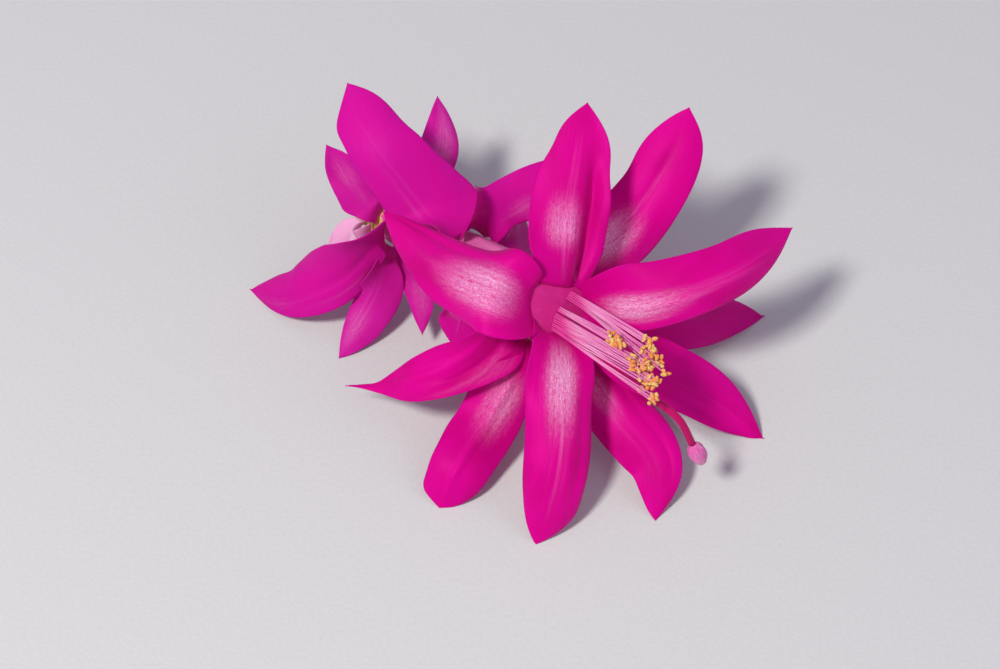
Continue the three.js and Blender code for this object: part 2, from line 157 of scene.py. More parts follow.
class TubeLine:
    """The middle line and the radius of the floral tube, as its solid has them."""

    LEAVE, ARRIVE, RIM_BACK = 12.0, 10.0, 2.5
    FOOT_RADIUS, NECK_RADIUS, RIM_RADIUS, WALL = 3.6, 5.4, 6.0, 0.8
    SEAT = 0.66

    def __init__(self) -> None:
        """Place the four control points of the line."""
        rim = MOUTH - FACING * self.RIM_BACK
        self.controls = [FOOT, FOOT + TUBE_WAY * self.LEAVE, rim - FACING * self.ARRIVE, rim]

    def at(self, t: float) -> np.ndarray:
        """Return the middle of the tube at a station from 0, the foot, to 1, the rim."""
        a, b, c, d = self.controls
        u = 1 - t
        return a * u ** 3 + b * 3 * u * u * t + c * 3 * u * t * t + d * t ** 3

    def way(self, t: float) -> np.ndarray:
        """Return the tube's direction at a station."""
        a, b, c, d = self.controls
        u = 1 - t
        return unit((b - a) * u * u + (c - b) * 2 * u * t + (d - c) * t * t)

    def radius(self, t: float) -> float:
        """Return the outer radius at a station."""
        neck = mix(self.FOOT_RADIUS, self.NECK_RADIUS, ease(t / 0.8))
        return neck + (self.RIM_RADIUS - self.NECK_RADIUS) * ease((t - 0.75) / 0.25)

    def inside(self, t: float, rise: float, off: float, share: float) -> np.ndarray:
        """Return a point in the tube, moved a share of the way out towards the mouth's sides."""
        return self.at(t) + (MOUTH_SIDE * rise + MOUTH_ACROSS * off) * share


TUBE = TubeLine()


class Skin:
    """The vertices and faces of one piece, gathered in millimetres."""

    def __init__(self) -> None:
        """Start with nothing."""
        self.points: list[np.ndarray] = []
        self.place: list[np.ndarray] = []
        self.run: list[np.ndarray] = []
        self.tone: list[np.ndarray] = []
        self.faces: list[tuple[int, ...]] = []
        self.count = 0

    def _add(self, points: np.ndarray, place: np.ndarray, run: np.ndarray,
             tone: np.ndarray | None = None) -> int:
        """Add vertices with their marks, and return the index of the first."""
        first = self.count
        self.points.append(points.reshape(-1, 3))
        self.tone.append(np.zeros_like(self.points[-1]) if tone is None else tone.reshape(-1, 3))
        self.place.append(place.reshape(-1, 3))
        self.run.append(run.reshape(-1, 3))
        self.count += self.points[-1].shape[0]
        return first

    def sheet(self, top: np.ndarray, under: np.ndarray, place: np.ndarray, run: np.ndarray,
              tone: np.ndarray) -> None:
        """Add a closed sheet of two grids of points joined round their edge.

        Args:
            top: The upper face, rows by columns by 3.
            under: The lower face, the same shape.
            place: For each point of the upper face, across, share of length and 0.
            run: For each point, the millimetres across and along, and the piece's own number.
            tone: For each point, its pale patch and its streak, partly pigment and partly painted sheen
                highlight, and how violet it is.
        """
        rows, columns = top.shape[0] - 1, top.shape[1] - 1
        first = self._add(top, place, run, tone)
        second = self._add(under, place + vec(0, 0, 1), run, tone)
        grid = np.arange((rows + 1) * (columns + 1)).reshape(rows + 1, columns + 1)
        a, b = grid[:-1, :-1].ravel(), grid[:-1, 1:].ravel()
        c, d = grid[1:, 1:].ravel(), grid[1:, :-1].ravel()
        self.faces += list(zip(a + first, b + first, c + first, d + first))
        self.faces += list(zip(a + second, d + second, c + second, b + second))
        edge = [*grid[0, :-1], *grid[:-1, -1], *grid[-1, :0:-1], *grid[:0:-1, 0]]
        for p, q in zip(edge, edge[1:] + edge[:1]):
            self.faces.append((q + first, p + first, p + second, q + second))

    def rod(self, centres: np.ndarray, radii: np.ndarray, sides: int, number: float = 0.0,
            inner: int | None = None, ways: np.ndarray | None = None) -> None:
        """Add a closed body of rings along a line.

        Args:
            centres: The middle of each ring.
            radii: The radius of each ring, or of each of its points, rings by sides.
            sides: How many points a ring has.
            number: The piece's own number, which shifts its pattern.
            inner: The ring from which the body turns back inside itself, if it does.
            ways: The direction of every ring, where the line doubles back on itself.
        """
        rings = len(centres)
        radii = np.broadcast_to(np.asarray(radii, float).reshape(rings, -1), (rings, sides))
        outward = len(centres) if inner is None else inner
        if ways is None:
            ways = unit(np.gradient(centres[:outward], axis=0))
            ways = np.vstack([ways, ways[::-1][:rings - outward]])
        ways = np.broadcast_to(ways, (rings, 3))
        across = spoke(ways[0], 0)
        angles = round_angles(sides)
        turns = np.stack([np.cos(angles), np.sin(angles)], axis=1)
        points = np.empty((rings, sides, 3))
        for k, way in enumerate(ways):
            across = unit(across - way * (across @ way))
            up = np.cross(way, across)
            out = turns[:, :1] * across + turns[:, 1:] * up
            points[k] = centres[k] + out * radii[k][:, None]
        shares = np.linspace(0, 1, rings)
        along = np.concatenate([[0.0], np.cumsum(np.linalg.norm(np.diff(centres, axis=0), axis=1))])
        hidden = (np.arange(rings) >= outward).astype(float)
        place = np.zeros((rings, sides, 3))
        place[..., 1] = shares[:, None]
        place[..., 2] = hidden[:, None]
        run = np.stack([turns[:, 0] * radii, np.broadcast_to(along[:, None], radii.shape) + number,
                        turns[:, 1] * radii], axis=-1)
        first = self._add(points, place, run)
        grid = first + np.arange(rings * sides).reshape(rings, sides)
        step = np.roll(grid, -1, axis=1)
        a, b, c, d = grid[:-1].ravel(), step[:-1].ravel(), step[1:].ravel(), grid[1:].ravel()
        self.faces += list(zip(a, b, c, d))
        self.faces.append(tuple(grid[0][::-1]))
        self.faces.append(tuple(grid[-1]))

    def piece(self, name: str) -> bpy.types.Object:
        """Return the gathered mesh as an object in metres, in the part's frame."""
        mesh = bpy.data.meshes.new(name)
        points = (np.vstack(self.points) - CENTRE) * METRE
        mesh.from_pydata(points.tolist(), [], [tuple(map(int, f)) for f in self.faces])
        for mark, values in (("place", self.place), ("run", self.run), ("tone", self.tone)):
            layer = mesh.attributes.new(mark, "FLOAT_VECTOR", "POINT")
            layer.data.foreach_set("vector", np.vstack(values).astype(np.float32).ravel())
        mesh.polygons.foreach_set("use_smooth", [True] * len(mesh.polygons))
        mesh.update()
        return show(bpy.data.objects.new(name, mesh))


class Signal:
    """A shader socket that carries a number. Arithmetic on it adds Math nodes."""

    def __init__(self, bench: "Bench", socket: bpy.types.NodeSocket) -> None:
        """Wrap a socket of a material that is being made."""
        self.bench = bench
        self.socket = socket

    def _math(self, operation: str, first: "Signal | float", second: "Signal | float") -> "Signal":
        """Return the result of one Math node."""
        node = self.bench.node("ShaderNodeMath", {"operation": operation}, {0: first, 1: second})
        return Signal(self.bench, node.outputs[0])

    def __add__(self, other: "Signal | float") -> "Signal":
        """Return self + other."""
        return self._math("ADD", self, other)

    def __radd__(self, other: float) -> "Signal":
        """Return other + self."""
        return self._math("ADD", other, self)

    def __sub__(self, other: "Signal | float") -> "Signal":
        """Return self - other."""
        return self._math("SUBTRACT", self, other)

    def __rsub__(self, other: float) -> "Signal":
        """Return other - self."""
        return self._math("SUBTRACT", other, self)

    def __mul__(self, other: "Signal | float") -> "Signal":
        """Return self * other."""
        return self._math("MULTIPLY", self, other)

    def ramp(self, low: float, high: float) -> "Signal":
        """Return 0 at low and 1 at high, with a smooth step between, in either order."""
        node = self.bench.node("ShaderNodeMapRange", {"interpolation_type": "SMOOTHSTEP"},
                               {"Value": self, "From Min": low, "From Max": high})
        return Signal(self.bench, node.outputs[0])


Value = Signal | bpy.types.NodeSocket | float | tuple


class Bench:
    """One material's node tree while it is being made."""

    def __init__(self, name: str) -> None:
        """Start an empty material."""
        self.material = bpy.data.materials.new(name)
        self.material.use_nodes = True
        self.tree = self.material.node_tree
        self.tree.nodes.clear()

    def node(self, kind: str, settings: Mapping[str, object],
             sockets: Mapping[object, Value]) -> bpy.types.Node:
        """Add a node.

        Args:
            kind: The node's type.
            settings: Its properties, which are set first.
            sockets: A value or a link for each input, by name or number.

        Returns:
            The node.
        """
        node = self.tree.nodes.new(kind)
        for name, setting in settings.items():
            setattr(node, name, setting)
        for key, value in sockets.items():
            if isinstance(value, Signal):
                value = value.socket
            if isinstance(value, bpy.types.NodeSocket):
                self.tree.links.new(value, node.inputs[key])
            else:
                node.inputs[key].default_value = value
        return node

    def mark(self, name: str) -> bpy.types.NodeSocket:
        """Return the vector that a mesh holds under a name."""
        return self.node("ShaderNodeAttribute", {"attribute_name": name}, {}).outputs["Vector"]

    def parts(self, vector: bpy.types.NodeSocket) -> tuple[Signal, Signal, Signal]:
        """Return the three numbers of a vector."""
        node = self.node("ShaderNodeSeparateXYZ", {}, {0: vector})
        return tuple(Signal(self, output) for output in node.outputs)

    def stretched(self, vector: bpy.types.NodeSocket, by: Triple) -> bpy.types.NodeSocket:
        """Return a vector multiplied by three factors."""
        return self.node("ShaderNodeVectorMath", {"operation": "MULTIPLY"}, {0: vector, 1: by}).outputs[0]

    def noise(self, vector: bpy.types.NodeSocket, detail: float = 2.0, rough: float = 0.5) -> Signal:
        """Return smooth noise from 0 to 1 with one wave for each unit of the vector."""
        node = self.node("ShaderNodeTexNoise", {}, {"Vector": vector, "Scale": 1.0, "Detail": detail,
                                                    "Roughness": rough})
        return Signal(self, node.outputs["Fac"])

    def grains(self, vector: bpy.types.NodeSocket) -> Signal:
        """Return the height of small domes, one for each unit of the vector."""
        node = self.node("ShaderNodeTexVoronoi", {}, {"Vector": vector, "Scale": 1.0})
        return 1.0 - Signal(self, node.outputs["Distance"])

    def blend(self, first: Value, second: Value, share: Signal | float) -> bpy.types.NodeSocket:
        """Return a colour between two, by a share."""
        colours = [(*c, 1.0) if isinstance(c, tuple) else c for c in (first, second)]
        node = self.node("ShaderNodeMix", {"data_type": "RGBA"}, {0: share, 6: colours[0], 7: colours[1]})
        return node.outputs[2]

    def close(self, surface: Mapping[str, Value], height: Signal, relief: float,
              glow: Colour | None = None, share: float = 0.25) -> bpy.types.Material:
        """Join the surface to the output.

        Args:
            surface: The values and links of the Principled shader.
            height: The height that the bump follows, from 0 to 1.
            relief: What a height of 1 stands for, in millimetres.
            glow: The colour of the light that a thin skin lets through, if it does.
            share: How much of the light goes through such a skin.

        Returns:
            The finished material.
        """
        bump = self.node("ShaderNodeBump", {}, {"Height": height, "Distance": relief * METRE,
                                                "Strength": 1.0})
        shader = self.node("ShaderNodeBsdfPrincipled", {}, {**surface, "Normal": bump.outputs[0]})
        if glow is not None:
            through = self.node("ShaderNodeBsdfTranslucent", {}, {"Color": (*glow, 1.0)})
            both = {0: share, 1: shader.outputs[0], 2: through.outputs[0]}
            shader = self.node("ShaderNodeMixShader", {}, both)
        self.node("ShaderNodeOutputMaterial", {}, {"Surface": shader.outputs[0]})
        return self.material


@dataclass(frozen=True)
class PetalFinish:
    """Satin petal skin: a saturated blade with a pale patch of fine fibres, partly pale pigment and partly
    a painted sheen highlight flecked with painted glints.

    Each pattern has its waves in a millimetre across and along, and how far it moves for each petal.
    """

    name: str
    body: Colour
    deep: Colour
    violet: Colour
    pale_and_sheen_colour: Colour
    back: Colour
    strength: float = 0.8
    roughness: float = 0.4
    glow: Colour = (1.0, 0.06, 0.72)

    FIBRES = (2.2, 0.09, 1)
    FINE_FIBRES = (9.0, 0.9, 1)
    # These waves fleck the pale patch with painted glints of light.
    PAINTED_GLINTS = (4.0, 3.0, 1)
    CLOUDS = (0.2, 0.08, 1)
    CELLS = (4.5, 3.2, 1)
    VEINS = (1.1, 0.02, 1)
    RELIEF = 0.12

    def material(self) -> bpy.types.Material:
        """Return the finish as a material."""
        bench = Bench(self.name)
        run = bench.mark("run")
        _, _, under = bench.parts(bench.mark("place"))
        pale, streak, violet = bench.parts(bench.mark("tone"))
        fibre = bench.noise(bench.stretched(run, self.FIBRES), 3, 0.6)
        fine = bench.noise(bench.stretched(run, self.FINE_FIBRES), 2, 0.6)
        painted_glint = bench.noise(bench.stretched(run, self.PAINTED_GLINTS), 1)
        cloud = bench.noise(bench.stretched(run, self.CLOUDS), 2)
        cells = bench.grains(bench.stretched(run, self.CELLS))
        vein = bench.noise(bench.stretched(run, self.VEINS), 1)
        dark = cloud.ramp(0.4, 0.75) * 0.6 + fibre.ramp(0.5, 0.75) * 0.2
        colour = bench.blend(self.body, self.deep, dark)
        colour = bench.blend(colour, self.violet, violet + (cloud - 0.5) * violet)
        # The pale patch is partly pale pigment and partly a painted sheen highlight, flecked with painted
        # glints; the streak is partly veins and partly a painted highlight down the middle.
        pale_and_painted_sheen = (pale * (0.35 + fibre) - 0.1 + (fine - 0.5) * pale * 1.7).ramp(0.0, 0.95)
        pale_and_painted_sheen = pale_and_painted_sheen * (0.7 + painted_glint.ramp(0.35, 0.7) * 0.6)
        vein_and_highlight_streak = streak * vein.ramp(0.4, 0.7) * fibre.ramp(0.3, 0.65) * 0.35
        colour = bench.blend(colour, self.pale_and_sheen_colour, (pale_and_painted_sheen + vein_and_highlight_streak) * self.strength)
        colour = bench.blend(colour, self.back, under.ramp(*UNDER_SIDE) * 0.7)
        surface = {
            "Base Color": colour,
            "Roughness": self.roughness + fine * 0.2 - cells * 0.08,
            "Specular IOR Level": 0.25,
            "Specular Tint": (1.0, 0.12, 0.6, 1.0),
            "Subsurface Weight": 0.2,
            "Subsurface Radius": (1.0, 0.12, 0.5),
            "Subsurface Scale": 0.0015,
            "Sheen Weight": 0.03,
            "Sheen Roughness": 0.4,
            "Sheen Tint": (1.0, 0.6, 0.85, 1.0),
        }
        height = fibre * 0.45 + fine * pale * 0.45 + cells * 0.2
        return bench.close(surface, height, self.RELIEF, self.glow)


@dataclass(frozen=True)
class StreakFinish:
    """Skin that goes from one colour at the root to another at the end, with long streaks."""

    name: str
    root: Colour
    end: Colour
    streak: Colour
    streaks: float = 0.4
    scale: Triple = (1.2, 0.12, 1.2)
    relief: float = 0.1
    roughness: float = 0.45
    inside: Colour | None = None
    foot: Colour | None = None
    foot_share: float = 0.12

    PORES = (5.0, 4.0, 5.0)

    def material(self) -> bpy.types.Material:
        """Return the finish as a material."""
        bench = Bench(self.name)
        run = bench.mark("run")
        _, share, under = bench.parts(bench.mark("place"))
        fibre = bench.noise(bench.stretched(run, self.scale), 3, 0.6)
        pores = bench.grains(bench.stretched(run, self.PORES))
        colour = bench.blend(self.root, self.end, (share + fibre * 0.3 - 0.15).ramp(0.1, 0.9))
        colour = bench.blend(colour, self.streak, fibre.ramp(0.45, 0.7) * self.streaks)
        if self.inside is not None:
            colour = bench.blend(colour, self.inside, under.ramp(*UNDER_SIDE))
        if self.foot is not None:
            near = (share + fibre * 0.04).ramp(self.foot_share, self.foot_share * 0.8)
            colour = bench.blend(colour, self.foot, near)
        surface = {
            "Base Color": colour,
            "Roughness": self.roughness + fibre * 0.15 - pores * 0.06,
            "Specular IOR Level": 0.3,
            "Specular Tint": (1.0, 0.45, 0.75, 1.0),
            "Subsurface Weight": 0.15,
            "Subsurface Radius": (1.0, 0.4, 0.6),
            "Subsurface Scale": 0.001,
        }
        return bench.close(surface, fibre * 0.6 + pores * 0.4, self.relief)


@dataclass(frozen=True)
class MealFinish:
    """Dusty pollen over a grainy body."""

    name: str
    body: Colour
    dust: Colour
    young: Colour

    CLUMPS = (2.2, 2.2, 2.2)
    GRAINS = (9.0, 9.0, 9.0)
    SACS = (0.37, 0.37, 0.37)
    RELIEF = 0.14

    def material(self) -> bpy.types.Material:
        """Return the finish as a material."""
        bench = Bench(self.name)
        run = bench.mark("run")
        clumps = bench.noise(bench.stretched(run, self.CLUMPS), 3, 0.65)
        grains = bench.grains(bench.stretched(run, self.GRAINS))
        each = bench.noise(bench.stretched(run, self.SACS), 0)
        dusty = (clumps * 0.4 + grains * 0.3 + each * 0.5).ramp(0.4, 0.75)
        colour = bench.blend(self.body, self.dust, dusty)
        colour = bench.blend(colour, self.young, each.ramp(0.5, 0.6) * 0.85)
        surface = {"Base Color": colour, "Roughness": 0.75 + clumps * 0.2, "Specular IOR Level": 0.2}
        return bench.close(surface, grains * 0.6 + clumps * 0.4, self.RELIEF)


@dataclass(frozen=True)
class CardFinish:
    """Pale matt card for the floor."""

    name: str
    light: Colour
    shade: Colour

    GRAIN = (1500.0, 1500.0, 1500.0)
    RELIEF = 0.05

    def material(self) -> bpy.types.Material:
        """Return the finish as a material."""
        bench = Bench(self.name)
        where = bench.node("ShaderNodeTexCoord", {}, {}).outputs["Object"]
        grain = bench.noise(bench.stretched(where, self.GRAIN), 3)
        colour = bench.blend(self.shade, self.light, grain)
        surface = {"Base Color": colour, "Roughness": 0.9, "Specular IOR Level": 0.15}
        return bench.close(surface, grain, self.RELIEF)


class Finish(Enum):
    """The finishes of the flower and of the floor."""

    # The fourth colour of a petal finish is its pale patch, partly pale pigment and partly a painted sheen
    # highlight.
    PETAL = PetalFinish("petal satin", (0.72, 0.001, 0.29), (0.5, 0.001, 0.16), (0.6, 0.008, 0.35),
                        (1.0, 0.55, 0.85), (0.6, 0.003, 0.29))
    BASAL = PetalFinish("basal petal satin", (0.64, 0.012, 0.35), (0.5, 0.006, 0.26), (0.6, 0.03, 0.38),
                        (1.0, 0.5, 0.8), (0.62, 0.02, 0.38), 0.65, glow=(1.0, 0.2, 0.8))
    PALE = PetalFinish("pale petal satin", (0.95, 0.5, 0.76), (0.85, 0.3, 0.62), (0.9, 0.6, 0.8),
                       (1.0, 0.88, 0.96), (0.9, 0.5, 0.74), glow=(1.0, 0.6, 0.85))
    TUBE = StreakFinish("tube satin", (0.66, 0.09, 0.36), (0.84, 0.36, 0.58), (0.66, 0.03, 0.3), 0.55,
                        inside=(0.75, 0.06, 0.3), foot=(0.72, 0.56, 0.12), foot_share=0.07)
    COLLAR = StreakFinish("throat skin", (0.56, 0.014, 0.21), (0.58, 0.016, 0.22), (0.62, 0.04, 0.27), 0.35,
                          (0.9, 0.5, 0.9), 0.04, 0.5)
    OVARY = StreakFinish("ovary skin", (0.62, 0.62, 0.14), (0.4, 0.45, 0.1), (0.6, 0.3, 0.16), 0.4)
    THREAD = StreakFinish("stamen thread", (0.88, 0.5, 0.72), (0.8, 0.2, 0.5), (0.93, 0.68, 0.83), 0.4,
                          relief=0.03, foot=(0.74, 0.06, 0.34), foot_share=0.68)
    ANTHER = MealFinish("anther pollen", (0.86, 0.24, 0.07), (0.93, 0.52, 0.15), (0.82, 0.6, 0.2))
    STYLE = StreakFinish("style skin", (0.58, 0.001, 0.17), (0.48, 0.001, 0.11), (0.64, 0.012, 0.22), 0.3)
    STIGMA = StreakFinish("stigma skin", (0.64, 0.11, 0.36), (0.68, 0.24, 0.47), (0.76, 0.4, 0.6), 0.5,
                          (2.0, 0.6, 2.0), 0.08, 0.6)
    FLOOR = CardFinish("pale card", (0.62, 0.62, 0.62), (0.56, 0.56, 0.565))


class Dresser:
    """Makes each finish once and puts pieces in their place in the part."""

    def __init__(self) -> None:
        """Start with no material made."""
        self.made: dict[Finish, bpy.types.Material] = {}

    def coat(self, piece: bpy.types.Object, finish: Finish) -> None:
        """Give an object its finish."""
        if finish not in self.made:
            self.made[finish] = finish.value.material()
        piece.data.materials.append(self.made[finish])

    def seat(self, piece: bpy.types.Object, finish: Finish, node: str, slot: str) -> None:
        """Coat a piece and let it stand for a node.

        Args:
            piece: The piece.
            finish: Its finish.
            node: The node that it replaces.
            slot: The name of a material slot; it is not used.
        """
        self.coat(piece, finish)
        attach(piece, BODY)
        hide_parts(node)
        LOG.info("%s: %d faces", piece.name, len(piece.data.polygons))


@dataclass(frozen=True)
class Root:
    """Where a petal starts: the first points of its line, the way its face looks and its ring."""

    points: tuple[np.ndarray, ...]
    inward: np.ndarray
    ring: float

    INNER_RING = 4.25
    OUTER_RING = 6.6

    @classmethod
    def inner(cls, degrees: float, ahead: float, out: float) -> "Root":
        """Return a root inside the rim, with the lip's place ahead of and out from the mouth."""
        spread = spoke(FACING, degrees)
        base = MOUTH + spread * cls.INNER_RING
        return cls((base - FACING * 5, base - FACING * 2, MOUTH + FACING * ahead + spread * out),
                   -spread, cls.INNER_RING)

    @classmethod
    def outer(cls, degrees: float, ahead: float, out: float) -> "Root":
        """Return a root outside the rim, with the lip's place ahead of and out from the mouth."""
        spread = spoke(FACING, degrees)
        base = MOUTH + spread * cls.OUTER_RING - FACING * 6
        return cls((base, MOUTH + FACING * ahead + spread * out), -spread, cls.OUTER_RING)

    @classmethod
    def wall(cls, station: float, degrees: float, lean: float, reach: float) -> "Root":
        """Return a root on the tube's wall, which the petal leaves at a lean and for a reach."""
        way = TUBE.way(station)
        spread = spoke(way, degrees)
        ring = TUBE.radius(station) + TUBE.SEAT
        base = TUBE.at(station) + spread * ring
        forward, outward = math.cos(math.radians(lean)), math.sin(math.radians(lean))
        leave = way * forward + spread * outward
        return cls((base, base + leave * reach), way * outward - spread * forward, ring)


@dataclass(frozen=True)
class Trim:
    """A stretch of one margin that stands further out than the plain outline, or further in.

    The side is -1 for the left margin and 1 for the right one, looking from the root to the tip.
    """

    side: int
    share: float
    out: float
    spread: float = 0.14


@dataclass(frozen=True)
class Fold:
    """A long soft valley down a blade, or a ridge where its depth is below zero."""

    across: float
    depth: float
    width: float
    start: float = 0.1
    end: float = 0.9


@dataclass(frozen=True)
class Sheen:
    """The pale fibrous patch of a blade and the thin streak that runs on from it, each partly pale pigment
    and partly a painted sheen highlight set where the light catches the blade.
    """

    share: float = 0.3
    length: float = 0.16
    across: float = 0.0
    width: float = 0.6
    strength: float = 0.8
    streak: float = 0.7


@dataclass
class Petal:
    """One petal: its line, its outline, how it bows across, and its small unevenness.

    Attributes:
        name: Its name, without the word petal.
        root: Where it starts.
        face: The way its upper face looks once it has turned from its root.
        through: The points that its middle line passes after the root, up to the tip.
        half: Its greatest half width.
        claw: Its half width at the root.
        broad: The share of its length where it is broadest.
        taper: How late it narrows towards the tip.
        arch: How many degrees it bows across, below zero where its margins fall away.
        tail: How far its tip is drawn out thin.
        turn: The share of its length by which it has turned to its face.
        unroll: The share of its length by which it has left the curve of its ring.
        curls: How many degrees the left and the right margin curl up.
        ruffle: How high its margins wave.
        number: Its place in the list, which shifts its pattern and its waves.
    """

    name: str
    root: Root
    face: np.ndarray
    through: list[np.ndarray]
    half: float
    claw: float
    broad: float
    taper: float
    arch: float
    tail: float = 1.0
    turn: float = 0.6
    unroll: float = 0.5
    finish: Finish = Finish.PETAL
    trims: tuple[Trim, ...] = ()
    folds: tuple[Fold, ...] = ()
    sheen: Sheen = Sheen()
    violet: float = 0.0
    curls: tuple[float, float] = (0.0, 0.0)
    ruffle: float = 0.3
    number: int = 0

    ROWS = 84
    COLUMNS = 40
    CLAW_SHARE = 0.05
    TIP_SHARE = 0.015
    THICKNESS = 0.5
    EDGE_THINNING = 0.75
    TIP_THINNING = 0.35
    LEAST_MARGIN = 0.05
    CURL_FROM = 0.4
    REST = 0.02

    def margins(self, share: np.ndarray) -> tuple[np.ndarray, np.ndarray]:
        """Return how far the left and the right margin stand out at shares of the length."""
        rise = ease((share - self.CLAW_SHARE) / (self.broad - self.CLAW_SHARE))
        past = np.maximum(share - self.broad, 0) / (1 - self.broad)
        fall = np.maximum(np.cos(math.pi / 2 * past ** self.taper), 0) ** self.tail
        plain = mix(self.claw, self.half, rise) * np.maximum(fall, self.TIP_SHARE)
        out = {-1: plain.copy(), 1: plain.copy()}
        for trim in self.trims:
            shape = np.exp(-((share - trim.share) / trim.spread) ** 2)
            out[trim.side] += trim.out * shape * ease((1 - share) / 0.05)
        return np.maximum(out[-1], self.LEAST_MARGIN), np.maximum(out[1], self.LEAST_MARGIN)

    def _frames(self, shares: np.ndarray) -> tuple[np.ndarray, np.ndarray, np.ndarray]:
        """Return the middle line's points, and the face and side directions along it."""
        course = Course([*self.root.points, *self.through])
        self.length = course.length
        centres = course.at(shares)
        ways = unit(np.gradient(centres, shares, axis=0))
        normal = self.root.inward
        faces = np.empty_like(centres)
        for i, way in enumerate(ways):
            normal = unit(normal - way * (normal @ way))
            wish = unit(self.face - way * (self.face @ way))
            angle = math.atan2(np.cross(normal, wish) @ way, normal @ wish) * ease(shares[i] / self.turn)
            faces[i] = normal * math.cos(angle) + np.cross(way, normal) * math.sin(angle)
        return centres, faces, np.cross(ways, faces)

    def _section(self, shares: np.ndarray, across: np.ndarray) -> tuple[np.ndarray, np.ndarray]:
        """Return each point's place along the side and the face directions, rows by columns."""
        left, right = (margin[:, None] for margin in self.margins(shares))
        half = np.where(across < 0, left, right)
        bend = mix(1 / self.root.ring, math.radians(self.arch) / self.half, ease(shares / self.unroll))
        edge = np.maximum(np.abs(across) - self.CURL_FROM, 0) / (1 - self.CURL_FROM)
        curl = np.where(across < 0, -math.radians(self.curls[0]), math.radians(self.curls[1]))
        grown = ease((shares - 0.1) / 0.25)[:, None]
        lean = bend[:, None] * half * across + grown * curl * edge
        between = (lean[:, 1:] + lean[:, :-1]) / 2
        stride = np.where(across[1:] <= 0, left, right) * (across[1] - across[0])
        side = np.pad(np.cumsum(np.cos(between) * stride, axis=1), ((0, 0), (1, 0)))
        rise = np.pad(np.cumsum(np.sin(between) * stride, axis=1), ((0, 0), (1, 0)))
        middle = len(across) // 2
        side -= side[:, middle:middle + 1]
        rise -= rise[:, middle:middle + 1]
        return side, rise + self._relief(shares[:, None], across)

    def _relief(self, share: np.ndarray, across: np.ndarray) -> np.ndarray:
        """Return the folds of the blade and the gentle waves of its margins."""
        relief = 0.0
        for fold in self.folds:
            reach = ease((share - fold.start) / 0.15) * ease((fold.end - share) / 0.2)
            relief = relief - fold.depth * np.exp(-((across - fold.across) / fold.width) ** 2) * reach
        shift = 2.4 * self.number
        left = np.sin(9 * share + shift) + 0.5 * np.sin(17 * share + 1.7 * shift)
        right = np.sin(8 * share + 1.3 * shift + 2) + 0.5 * np.sin(19 * share + 0.6 * shift)
        margin = np.where(across < 0, left, right) * np.abs(across) ** 3
        return relief + self.ruffle * margin * ease((share - 0.12) / 0.2) * ease((1 - share) / 0.15)

    def _tone(self, share: np.ndarray, across: np.ndarray) -> np.ndarray:
        """Return each point's pale patch and streak, partly pigment and partly painted sheen highlight, and
        how violet it is.
        """
        sheen = self.sheen
        reach = np.where(share < sheen.share, 0.8, 1.35) * sheen.length
        off = (across - sheen.across) / sheen.width
        pale = sheen.strength * np.exp(-((share - sheen.share) / reach) ** 2) / (1 + off ** 4)
        run_on = ease((share - 0.15) / 0.15) * ease((0.97 - share) / 0.5)
        streak = sheen.streak * np.exp(-((across - sheen.across) / 0.16) ** 2) * run_on
        return np.stack(np.broadcast_arrays(pale, streak, self.violet), axis=-1)

    def build(self) -> bpy.types.Object:
        """Return the petal as a thin closed sheet."""
        even = np.linspace(0, 1, self.ROWS + 1)
        shares = mix(even, ease(even), 0.5)
        across = np.linspace(-1, 1, self.COLUMNS + 1)
        centres, faces, sides = self._frames(shares)
        side, rise = self._section(shares, across)
        middle = centres[:, None] + sides[:, None] * side[..., None] + faces[:, None] * rise[..., None]
        down = np.gradient(middle, axis=0)
        over = np.gradient(middle, axis=1)
        out = unit(np.cross(over, down))
        thinner = (1 - self.EDGE_THINNING * np.abs(across) ** 4) * (1 - self.TIP_THINNING * shares[:, None])
        thick = self.THICKNESS * thinner
        top = middle + out * (thick / 2)[..., None]
        under = middle - out * (thick / 2)[..., None]
        lift = np.maximum(0, self.REST - np.minimum(top[..., 2], under[..., 2]))
        top[..., 2] += lift
        under[..., 2] += lift
        place = np.stack(np.broadcast_arrays(across, shares[:, None], 0.0), axis=-1)
        run = np.stack(np.broadcast_arrays(side, shares[:, None] * self.length, 7.0 * self.number), axis=-1)
        skin = Skin()
        skin.sheet(top, under, place, run, self._tone(shares[:, None], across))
        return skin.piece(f"fine_{self.name}")


